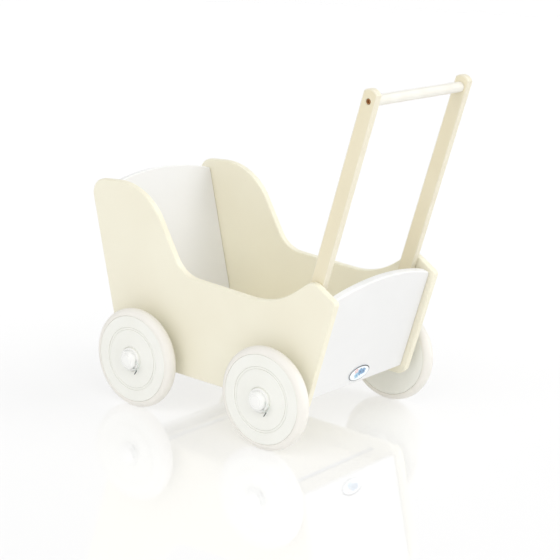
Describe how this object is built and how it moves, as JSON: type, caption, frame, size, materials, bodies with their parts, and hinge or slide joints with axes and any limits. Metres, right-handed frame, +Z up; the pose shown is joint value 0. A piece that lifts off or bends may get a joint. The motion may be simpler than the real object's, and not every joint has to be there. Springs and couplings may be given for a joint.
{
  "type": "doll stroller",
  "caption": "Painted wooden doll's pram on four quick-release wheels, with a fixed push handle.",
  "frame": {"origin": "on the ground, under the middle of the pram's overall length and width", "axes": "+Z up, +X towards the foot end, where the push handle stands, -X towards the raised head end, which leads when it is pushed; -Y is the left side of a child who pushes it"},
  "size_m": [0.5362, 0.3762, 0.5564],
  "materials": {
    "cream_board": "satin cream paint on smooth board",
    "white_board": "satin white paint on smooth board",
    "white_round_bar": "satin off-white paint on a turned bar",
    "beech": "bare beech dowel",
    "wheel_plastic": "moulded, softly polished",
    "tyre_rubber": "pale soft moulded ring",
    "cap_plastic": "glossy moulded dome",
    "steel": "bright zinc-plated",
    "bronze_steel": "dark bronze-plated",
    "enamel": "printed and clear-coated oval plate"
  },
  "bodies": {
    "root": {"side_panel_left": "cream_board", "side_panel_right": "cream_board", "head_panel": "white_board", "foot_panel": "white_board", "floor_panel": "cream_board", "badge": "enamel", "handle_bar_left": "cream_board", "handle_bar_right": "cream_board", "handle_grip": "white_round_bar", "grip_screw_left": "bronze_steel", "grip_screw_right": "bronze_steel", "bar_screw_left_1": "steel", "bar_screw_left_2": "steel", "bar_screw_right_1": "steel", "bar_screw_right_2": "steel", "head_dowel_left_1": "beech", "head_dowel_left_2": "beech", "head_dowel_left_3": "beech", "head_dowel_right_1": "beech", "head_dowel_right_2": "beech", "head_dowel_right_3": "beech", "foot_dowel_left_1": "beech", "foot_dowel_left_2": "beech", "foot_dowel_right_1": "beech", "foot_dowel_right_2": "beech", "floor_dowel_left_1": "beech", "floor_dowel_left_2": "beech", "floor_dowel_right_1": "beech", "floor_dowel_right_2": "beech", "axle_head": "steel", "axle_washer_head_left": "steel", "axle_washer_head_right": "steel", "axle_foot": "steel", "axle_washer_foot_left": "steel", "axle_washer_foot_right": "steel"},
    "wheel_head_left": {"wheel_disc_head_left": "wheel_plastic", "tyre_head_left": "tyre_rubber", "hub_cap_head_left": "cap_plastic"},
    "clip_head_left": {"release_clip_head_left": "steel"},
    "wheel_head_right": {"wheel_disc_head_right": "wheel_plastic", "tyre_head_right": "tyre_rubber", "hub_cap_head_right": "cap_plastic"},
    "clip_head_right": {"release_clip_head_right": "steel"},
    "wheel_foot_left": {"wheel_disc_foot_left": "wheel_plastic", "tyre_foot_left": "tyre_rubber", "hub_cap_foot_left": "cap_plastic"},
    "clip_foot_left": {"release_clip_foot_left": "steel"},
    "wheel_foot_right": {"wheel_disc_foot_right": "wheel_plastic", "tyre_foot_right": "tyre_rubber", "hub_cap_foot_right": "cap_plastic"},
    "clip_foot_right": {"release_clip_foot_right": "steel"}
  },
  "joints": [
    {"name": "wheel_spin_head_left", "type": "hinge", "parent": "root", "child": "wheel_head_left", "pos_m": [-0.13727, -0.163, 0.08], "axis": [0, 1, 0], "continuous": true},
    {"name": "wheel_spin_head_right", "type": "hinge", "parent": "root", "child": "wheel_head_right", "pos_m": [-0.13727, 0.163, 0.08], "axis": [0, 1, 0], "continuous": true},
    {"name": "wheel_spin_foot_left", "type": "hinge", "parent": "root", "child": "wheel_foot_left", "pos_m": [0.12673, -0.163, 0.08], "axis": [0, 1, 0], "continuous": true},
    {"name": "wheel_spin_foot_right", "type": "hinge", "parent": "root", "child": "wheel_foot_right", "pos_m": [0.12673, 0.163, 0.08], "axis": [0, 1, 0], "continuous": true},
    {"name": "clip_press_head_left", "type": "slide", "parent": "wheel_head_left", "child": "clip_head_left", "axis": [-0.8387, 0, 0.5446], "range_m": [0, 0.006], "stiffness_N_per_m": 800},
    {"name": "clip_press_head_right", "type": "slide", "parent": "wheel_head_right", "child": "clip_head_right", "axis": [-0.8387, 0, 0.5446], "range_m": [0, 0.006], "stiffness_N_per_m": 800},
    {"name": "clip_press_foot_left", "type": "slide", "parent": "wheel_foot_left", "child": "clip_foot_left", "axis": [-0.8387, 0, 0.5446], "range_m": [0, 0.006], "stiffness_N_per_m": 800},
    {"name": "clip_press_foot_right", "type": "slide", "parent": "wheel_foot_right", "child": "clip_foot_right", "axis": [-0.8387, 0, 0.5446], "range_m": [0, 0.006], "stiffness_N_per_m": 800}
  ]
}
